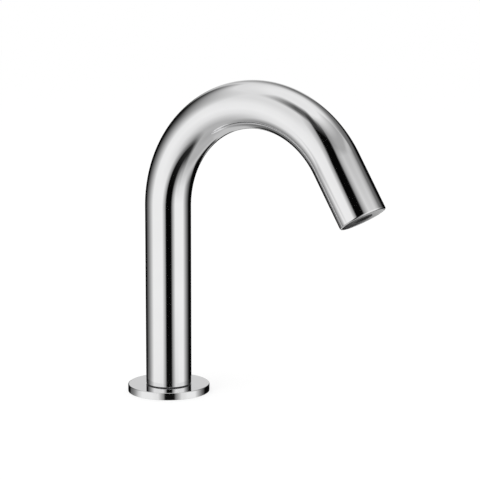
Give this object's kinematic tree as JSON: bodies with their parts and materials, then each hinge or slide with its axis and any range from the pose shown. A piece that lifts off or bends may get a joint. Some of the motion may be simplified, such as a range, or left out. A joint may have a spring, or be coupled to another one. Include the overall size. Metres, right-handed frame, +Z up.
{
  "type": "sensor tap",
  "caption": "Deck-mounted touch-free tap: a chromed swan-neck tube that swivels on a round flange, with an infrared sensor beside the aerator in its outlet.",
  "frame": {"origin": "middle of the water inlet's mouth, in the plane of the deck under the centre of the base", "axes": "+Z up along the column, +X the way the spout points at rest, +Y to its left"},
  "size_m": [0.1985, 0.0576, 0.2208],
  "materials": {
    "chrome": "polished chrome plate",
    "brass": "machined",
    "steel": "stainless",
    "window": "polished black, lets infrared through",
    "black_plastic": "moulded",
    "white_plastic": "moulded",
    "rubber": "moulded",
    "hose": "extruded",
    "board": "lacquered",
    "diode": "dark epoxy"
  },
  "bodies": {
    "base": {"base_body": "brass", "cover_flange": "chrome", "deck_gasket": "rubber", "flange_grip_ring": "rubber", "foot_glide_ring": "black_plastic", "lower_glide_ring": "white_plastic", "upper_glide_ring": "white_plastic", "spigot_friction_ring": "rubber", "union_nut": "brass", "valve_cartridge": "white_plastic", "cartridge_ring": "rubber", "stem_guide": "white_plastic", "poppet_spring": "steel"},
    "check_poppet": {"valve_poppet": "white_plastic", "poppet_seal": "rubber"},
    "spout": {"spout_tube": "chrome", "stop_screw": "steel", "lower_nipple": "brass", "lower_nipple_ring": "rubber", "upper_nipple": "brass", "upper_nipple_ring": "rubber", "water_hose": "hose", "lower_ferrule": "steel", "upper_ferrule": "steel", "outlet_insert": "chrome", "insert_ring": "rubber", "insert_lock_screw": "steel", "aerator_housing": "black_plastic", "jet_former": "black_plastic", "strainer_screen": "steel", "aerator_washer": "rubber", "sensor_window": "window", "sensor_housing": "black_plastic", "infrared_emitter": "diode", "infrared_receiver": "diode", "sensor_board": "board", "sensor_cap": "black_plastic", "sensor_lead": "black_plastic", "lead_plug": "black_plastic", "lower_lead_clip": "white_plastic", "upper_lead_clip": "white_plastic"}
  },
  "joints": [
    {"name": "spout_swivel", "type": "hinge", "parent": "base", "child": "spout", "pos_m": [0, 0, 0], "axis": [0, 0, 1], "range_deg": [-60, 60]},
    {"name": "poppet_lift", "type": "slide", "parent": "base", "child": "check_poppet", "axis": [0, 0, 1], "range_m": [0, 0.002], "stiffness_N_per_m": 60, "springref_m": -0.003, "deforming": ["poppet_spring"]}
  ]
}
